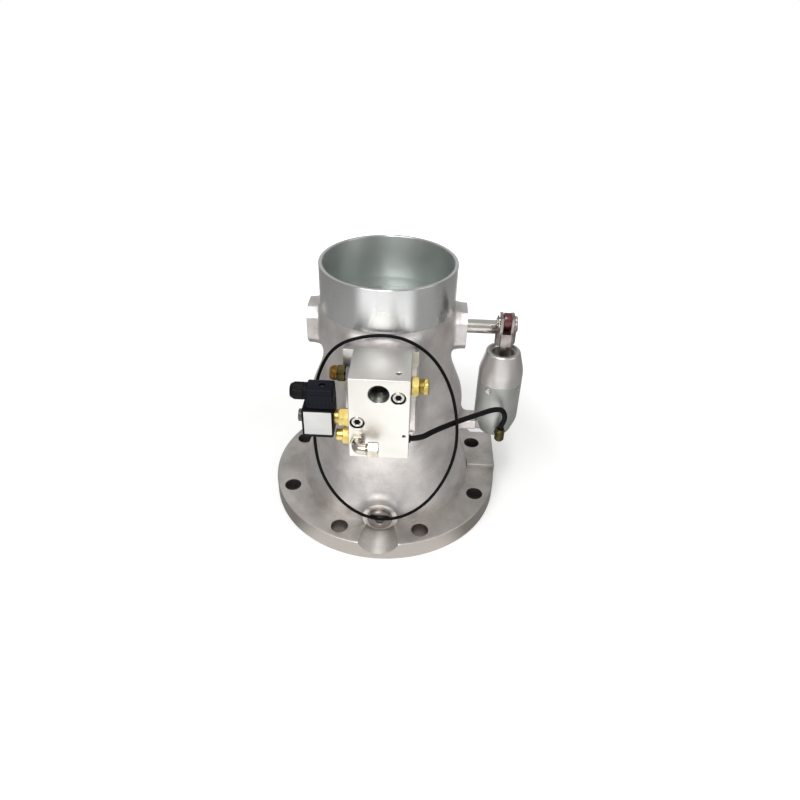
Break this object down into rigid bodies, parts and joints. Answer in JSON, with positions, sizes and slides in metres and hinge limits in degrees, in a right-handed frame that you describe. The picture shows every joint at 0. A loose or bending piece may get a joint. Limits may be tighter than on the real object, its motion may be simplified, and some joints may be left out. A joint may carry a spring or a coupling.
{
  "type": "compressor intake valve",
  "caption": "Flanged butterfly intake valve with a spigot inlet, a side control block with solenoid valve, and an air cylinder that turns the disc through a slotted lever.",
  "frame": {"origin": "centre of the base flange's underside, on the tube's axis", "axes": "+Z along the tube towards the inlet spigot, -Y towards the control block, +X along the shaft towards the lever"},
  "size_m": [0.3004, 0.3155, 0.3135],
  "materials": {
    "cast_aluminium": "sand-cast, bead-blasted",
    "machined_aluminium": "milled",
    "satin_aluminium": "turned, satin anodised",
    "bright_steel": "ground",
    "zinc_steel": "zinc plated",
    "disc_aluminium": "turned",
    "nickel_brass": "nickel plated",
    "yellow_brass": "turned",
    "sintered_bronze": "sintered",
    "black_plastic": "moulded",
    "black_rubber": "moulded",
    "copper_washer": "stamped",
    "red_enamel": "enamelled",
    "white_label": "plain film"
  },
  "bodies": {
    "housing": {"valve_body": "cast_aluminium", "flange_ring": "cast_aluminium", "spigot_ring": "machined_aluminium", "front_plug": "zinc_steel", "front_plug_washer": "copper_washer", "left_shaft_bush": "sintered_bronze", "right_shaft_bush": "sintered_bronze", "shaft_lip_seal": "black_rubber", "boss_core_plug": "copper_washer", "control_block": "machined_aluminium", "block_gasket": "black_rubber", "block_screws": "bright_steel", "silencer_adaptor": "nickel_brass", "silencer": "sintered_bronze", "brass_plug": "yellow_brass", "test_fitting": "yellow_brass", "elbow_fitting": "nickel_brass", "elbow_nut": "nickel_brass", "hose_collar": "yellow_brass", "solenoid_base": "yellow_brass", "solenoid_stem": "bright_steel", "armature_spring": "bright_steel", "coil": "black_plastic", "coil_label": "white_label", "coil_nut": "zinc_steel", "connector_gasket": "black_rubber", "connector_housing": "black_plastic", "connector_screw": "bright_steel", "cable_gland": "black_plastic", "actuator_barrel": "satin_aluminium", "actuator_cap": "satin_aluminium", "rod_bush": "sintered_bronze", "vent_screw": "bright_steel", "actuator_stud": "bright_steel", "return_spring": "bright_steel", "hose_elbow": "yellow_brass", "air_hose": "black_plastic", "flange_seal_ring": "black_rubber"},
    "butterfly": {"butterfly_shaft": "bright_steel", "butterfly_disc": "disc_aluminium", "disc_screws": "bright_steel", "slotted_lever": "red_enamel", "lever_washer": "zinc_steel", "lever_nut": "zinc_steel"},
    "actuator_rod": {"piston": "disc_aluminium", "piston_seal": "black_rubber", "piston_rod": "bright_steel", "fork": "zinc_steel", "fork_pin": "bright_steel", "pin_clip": "bright_steel"},
    "solenoid_armature": {"armature": "bright_steel"}
  },
  "joints": [
    {"name": "butterfly_turn", "type": "hinge", "parent": "housing", "child": "butterfly", "pos_m": [0, 0, 0.238], "axis": [1, 0, 0], "range_deg": [0, 75]},
    {"name": "rod_slide", "type": "slide", "parent": "housing", "child": "actuator_rod", "axis": [0, 0, -1], "range_m": [0, 0.0308], "stiffness_N_per_m": 1500, "springref_m": -0.02, "deforming": ["return_spring"]},
    {"name": "armature_slide", "type": "slide", "parent": "housing", "child": "solenoid_armature", "axis": [-1, 0, 0], "range_m": [0, 0.0015], "stiffness_N_per_m": 300, "springref_m": -0.003, "deforming": ["armature_spring"]}
  ],
  "couplings": [
    {"joint": "butterfly_turn", "follows": "rod_slide", "rad_per_m": 42.46}
  ]
}
